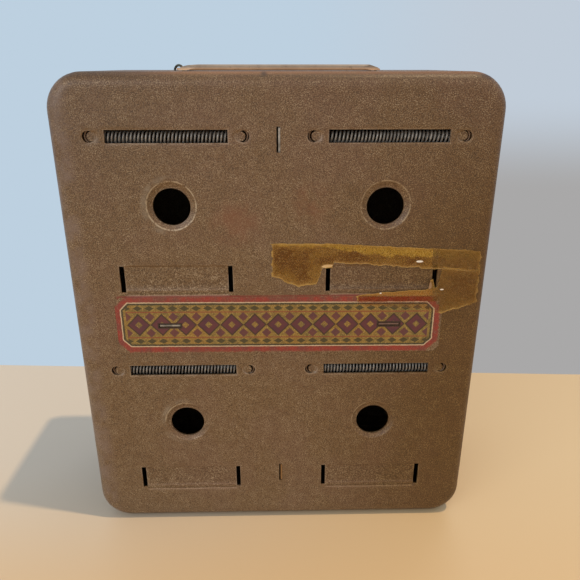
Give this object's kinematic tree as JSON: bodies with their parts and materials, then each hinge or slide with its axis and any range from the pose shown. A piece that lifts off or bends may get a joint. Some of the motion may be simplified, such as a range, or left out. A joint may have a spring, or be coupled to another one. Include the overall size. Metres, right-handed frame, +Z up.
{
  "type": "four-compartment coin bank",
  "caption": "Upright pressed-steel savings bank with spring-guarded coin slots, dished bill holes, card seats, dividers, a locking rear door and a folding handle.",
  "frame": {"origin": "middle of the box's flat underside, on the table it stands on", "axes": "+Z up, the face with the slots looks along -Y, +X to the right seen from the face"},
  "size_m": [0.1197, 0.0544, 0.1387],
  "materials": {
    "case_paint": "brown wrinkle enamel, fine pale flecks",
    "door_paint": "brown wrinkle enamel",
    "hinge_paint": "brown enamel, worn at the knuckles",
    "handle_paint": "smooth brown enamel",
    "divider_steel": "thin brown enamel, bare at the tab ends",
    "spring_steel": "dull drawn wire",
    "pin_steel": "dull steel",
    "rivet_steel": "dull steel rivets",
    "lock_steel": "dull nickelled steel",
    "lock_brass": "tarnished brass",
    "loop_wire": "dark oxidised wire",
    "label_print": "varnished printed label, red border, mottled gold ground",
    "old_tape": "yellowed clear adhesive tape"
  },
  "bodies": {
    "case": {"front_shell": "case_paint", "upright_divider": "divider_steel", "level_divider": "divider_steel", "name_label": "label_print", "guard_spring_upper_left": "spring_steel", "guard_spring_upper_right": "spring_steel", "guard_spring_lower_left": "spring_steel", "guard_spring_lower_right": "spring_steel", "case_leaf_upper": "hinge_paint", "case_leaf_lower": "hinge_paint", "hinge_pin_upper": "pin_steel", "hinge_pin_lower": "pin_steel", "case_rivets": "rivet_steel", "handle_loop_left": "loop_wire", "handle_loop_right": "loop_wire"},
    "door": {"rear_door": "door_paint", "door_leaf_upper": "hinge_paint", "door_leaf_lower": "hinge_paint", "door_rivets": "rivet_steel", "lock_barrel": "lock_steel", "lock_nut": "lock_steel"},
    "lock": {"lock_plug": "lock_brass", "lock_cam": "lock_steel", "cam_screw": "lock_steel"},
    "handle": {"carry_handle": "handle_paint"}
  },
  "joints": [
    {"name": "door_hinge", "type": "hinge", "parent": "case", "child": "door", "pos_m": [0.05985, 0.0277, 0.0685], "axis": [0, 0, -1], "range_deg": [0, 170]},
    {"name": "lock_turn", "type": "hinge", "parent": "door", "child": "lock", "pos_m": [-0.0455, 0.0256, 0.0692], "axis": [0, 1, 0], "range_deg": [0, 90]},
    {"name": "handle_swing", "type": "hinge", "parent": "case", "child": "handle", "pos_m": [0, 0, 0.13742], "axis": [-1, 0, 0], "range_deg": [0, 165]}
  ]
}
